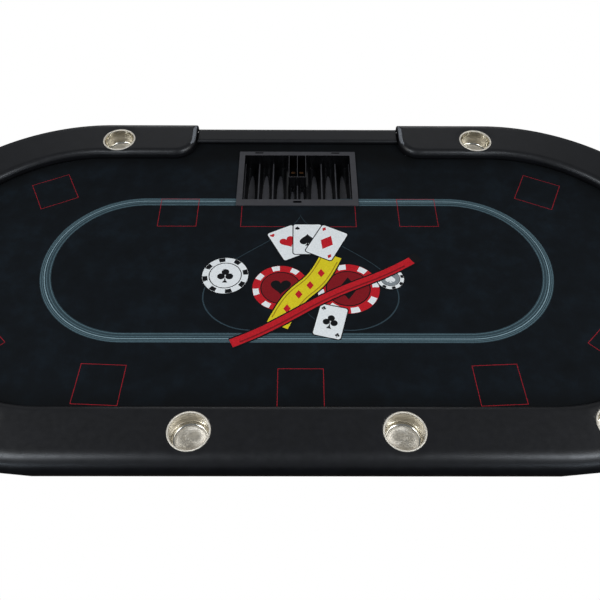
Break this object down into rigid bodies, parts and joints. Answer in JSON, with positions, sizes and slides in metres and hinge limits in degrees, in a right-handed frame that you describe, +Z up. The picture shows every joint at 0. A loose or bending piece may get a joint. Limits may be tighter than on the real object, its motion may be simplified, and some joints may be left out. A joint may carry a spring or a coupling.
{
  "type": "folding poker table",
  "caption": "Oval padded-rail card table with a dealer's chip tray, drop-in cup holders, printed speed cloth and steel leg frames that fold flat underneath.",
  "frame": {"origin": "on the floor under the middle of the table top, legs down", "axes": "+X along the table, +Y towards the dealer's side, +Z up"},
  "size_m": [2.44, 1.22, 0.7628],
  "materials": {
    "black_vinyl": "satin black upholstery vinyl with a fine leather grain",
    "speed_cloth": "very dark navy suited speed cloth with a printed betting line",
    "foam": "grey closed-cell upholstery foam",
    "black_edged_plywood": "plywood stained black",
    "mdf_board": "bare MDF",
    "raw_plywood": "bare plywood",
    "black_abs": "charcoal moulded ABS, satin",
    "stainless_steel": "polished walls and brushed floor",
    "black_powder_coat": "black powder coat on steel tube and strip",
    "zinc_plate": "bright zinc-plated pressed steel",
    "foot_rubber": "black moulded rubber"
  },
  "bodies": {
    "table_top": {"dealer_rail_board": "black_edged_plywood", "dealer_rail_cover": "black_vinyl", "dealer_rail_foam": "foam", "deck_panel": "black_edged_plywood", "foam_underlay": "foam", "left_brace_bracket": "zinc_plate", "left_far_clip": "zinc_plate", "left_far_saddle": "zinc_plate", "left_near_clip": "zinc_plate", "left_near_saddle": "zinc_plate", "playing_board": "mdf_board", "rail_board_left_far": "black_edged_plywood", "rail_board_left_near": "black_edged_plywood", "rail_board_near": "black_edged_plywood", "rail_board_right_far": "black_edged_plywood", "rail_board_right_near": "black_edged_plywood", "rail_cover": "black_vinyl", "rail_foam_left_far": "foam", "rail_foam_left_near": "foam", "rail_foam_near": "foam", "rail_foam_right_far": "foam", "rail_foam_right_near": "foam", "right_brace_bracket": "zinc_plate", "right_far_clip": "zinc_plate", "right_far_saddle": "zinc_plate", "right_near_clip": "zinc_plate", "right_near_saddle": "zinc_plate", "speed_cloth": "speed_cloth", "tray_cradle": "raw_plywood"},
    "left_leg": {"left_brace_bar": "black_powder_coat", "left_brace_tab": "black_powder_coat", "left_cross_rail": "black_powder_coat", "left_far_foot": "foot_rubber", "left_far_leg_tube": "black_powder_coat", "left_near_foot": "foot_rubber", "left_near_leg_tube": "black_powder_coat", "left_pivot_tube": "black_powder_coat"},
    "left_upper_brace": {"left_upper_brace_link": "black_powder_coat"},
    "left_lower_brace": {"left_lower_brace_link": "black_powder_coat"},
    "right_leg": {"right_brace_bar": "black_powder_coat", "right_brace_tab": "black_powder_coat", "right_cross_rail": "black_powder_coat", "right_far_foot": "foot_rubber", "right_far_leg_tube": "black_powder_coat", "right_near_foot": "foot_rubber", "right_near_leg_tube": "black_powder_coat", "right_pivot_tube": "black_powder_coat"},
    "right_upper_brace": {"right_upper_brace_link": "black_powder_coat"},
    "right_lower_brace": {"right_lower_brace_link": "black_powder_coat"},
    "chip_tray": {"chip_tray": "black_abs"},
    "cup_holder_01": {"cup_holder_01": "stainless_steel"},
    "cup_holder_02": {"cup_holder_02": "stainless_steel"},
    "cup_holder_03": {"cup_holder_03": "stainless_steel"},
    "cup_holder_04": {"cup_holder_04": "stainless_steel"},
    "cup_holder_05": {"cup_holder_05": "stainless_steel"},
    "cup_holder_06": {"cup_holder_06": "stainless_steel"},
    "cup_holder_07": {"cup_holder_07": "stainless_steel"},
    "cup_holder_08": {"cup_holder_08": "stainless_steel"},
    "cup_holder_09": {"cup_holder_09": "stainless_steel"},
    "cup_holder_10": {"cup_holder_10": "stainless_steel"}
  },
  "joints": [
    {"name": "leg_fold_left", "type": "hinge", "parent": "table_top", "child": "left_leg", "pos_m": [-0.9, 0, 0.661], "axis": [0, -1, 0], "range_deg": [0, 90]},
    {"name": "leg_fold_right", "type": "hinge", "parent": "table_top", "child": "right_leg", "pos_m": [0.9, 0, 0.661], "axis": [0, 1, 0], "range_deg": [0, 90]},
    {"name": "brace_upper_left", "type": "hinge", "parent": "table_top", "child": "left_upper_brace", "pos_m": [-0.54, 0, 0.683], "axis": [0, 1, 0], "range_deg": [0, 37.79]},
    {"name": "brace_lower_left", "type": "hinge", "parent": "left_leg", "child": "left_lower_brace", "pos_m": [-0.878, 0, 0.421], "axis": [0, -1, 0], "range_deg": [0, 52.23]},
    {"name": "brace_upper_right", "type": "hinge", "parent": "table_top", "child": "right_upper_brace", "pos_m": [0.54, 0, 0.683], "axis": [0, -1, 0], "range_deg": [0, 37.79]},
    {"name": "brace_lower_right", "type": "hinge", "parent": "right_leg", "child": "right_lower_brace", "pos_m": [0.878, 0, 0.421], "axis": [0, 1, 0], "range_deg": [0, 52.23]},
    {"name": "lift_chip_tray", "type": "slide", "parent": "table_top", "child": "chip_tray", "axis": [0, 0, 1], "range_m": [0, 0.12]},
    {"name": "lift_cup_01", "type": "slide", "parent": "table_top", "child": "cup_holder_01", "axis": [0, 0, 1], "range_m": [0, 0.07]},
    {"name": "lift_cup_02", "type": "slide", "parent": "table_top", "child": "cup_holder_02", "axis": [0, 0, 1], "range_m": [0, 0.07]},
    {"name": "lift_cup_03", "type": "slide", "parent": "table_top", "child": "cup_holder_03", "axis": [0, 0, 1], "range_m": [0, 0.07]},
    {"name": "lift_cup_04", "type": "slide", "parent": "table_top", "child": "cup_holder_04", "axis": [0, 0, 1], "range_m": [0, 0.07]},
    {"name": "lift_cup_05", "type": "slide", "parent": "table_top", "child": "cup_holder_05", "axis": [0, 0, 1], "range_m": [0, 0.07]},
    {"name": "lift_cup_06", "type": "slide", "parent": "table_top", "child": "cup_holder_06", "axis": [0, 0, 1], "range_m": [0, 0.07]},
    {"name": "lift_cup_07", "type": "slide", "parent": "table_top", "child": "cup_holder_07", "axis": [0, 0, 1], "range_m": [0, 0.07]},
    {"name": "lift_cup_08", "type": "slide", "parent": "table_top", "child": "cup_holder_08", "axis": [0, 0, 1], "range_m": [0, 0.07]},
    {"name": "lift_cup_09", "type": "slide", "parent": "table_top", "child": "cup_holder_09", "axis": [0, 0, 1], "range_m": [0, 0.07]},
    {"name": "lift_cup_10", "type": "slide", "parent": "table_top", "child": "cup_holder_10", "axis": [0, 0, 1], "range_m": [0, 0.07]}
  ],
  "couplings": [
    {"joint": "brace_upper_left", "follows": "leg_fold_left", "ratio": 0.41979},
    {"joint": "brace_lower_left", "follows": "leg_fold_left", "ratio": 0.58021},
    {"joint": "brace_upper_right", "follows": "leg_fold_right", "ratio": 0.41979},
    {"joint": "brace_lower_right", "follows": "leg_fold_right", "ratio": 0.58021}
  ]
}
